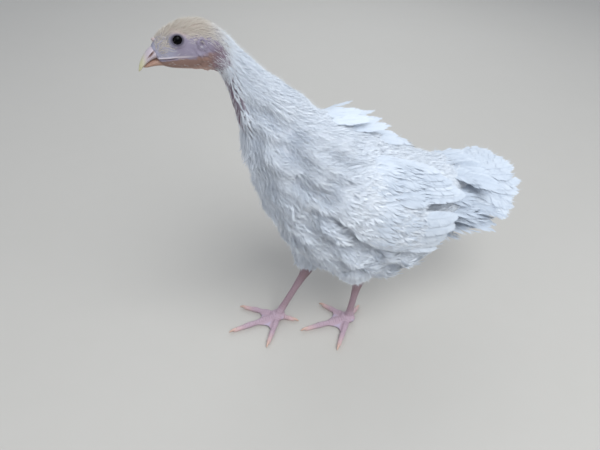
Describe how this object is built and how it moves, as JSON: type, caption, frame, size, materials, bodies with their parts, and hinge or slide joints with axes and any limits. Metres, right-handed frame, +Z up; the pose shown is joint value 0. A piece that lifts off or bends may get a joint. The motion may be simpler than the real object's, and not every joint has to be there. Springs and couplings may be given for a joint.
{
  "type": "young domestic turkey figure",
  "caption": "Life-size figure of a young white turkey caught mid-step, head raised, with ruffled plumage, loosely folded wings, a half-spread tail and bare scaled legs.",
  "frame": {"origin": "on the floor under the middle of the bird's length and width", "axes": "+Z up, the head towards -X, the tail towards +X, the bird's left side towards -Y"},
  "size_m": [0.4472, 0.1556, 0.3929],
  "materials": {
    "plumage": "soft matt white feathers, ruffled",
    "face_skin": "bare lilac-pink skin with sparse tan down",
    "leg_skin": "pinkish scaled skin, slightly glossy",
    "horn": "pale horn of the bill and claws",
    "eye": "wet dark eye"
  },
  "bodies": {
    "root": {"head": "face_skin", "bill_upper": "horn", "bill_lower": "horn", "eye_left": "eye", "eye_right": "eye", "neck": "plumage", "torso": "plumage", "tail": "plumage", "wing_left": "plumage", "thigh_left": "plumage", "shank_left": "leg_skin", "foot_left": "leg_skin", "claw_left_1": "horn", "claw_left_2": "horn", "claw_left_3": "horn", "claw_left_4": "horn", "wing_right": "plumage", "thigh_right": "plumage", "shank_right": "leg_skin", "foot_right": "leg_skin", "claw_right_1": "horn", "claw_right_2": "horn", "claw_right_3": "horn", "claw_right_4": "horn"}
  },
  "joints": []
}
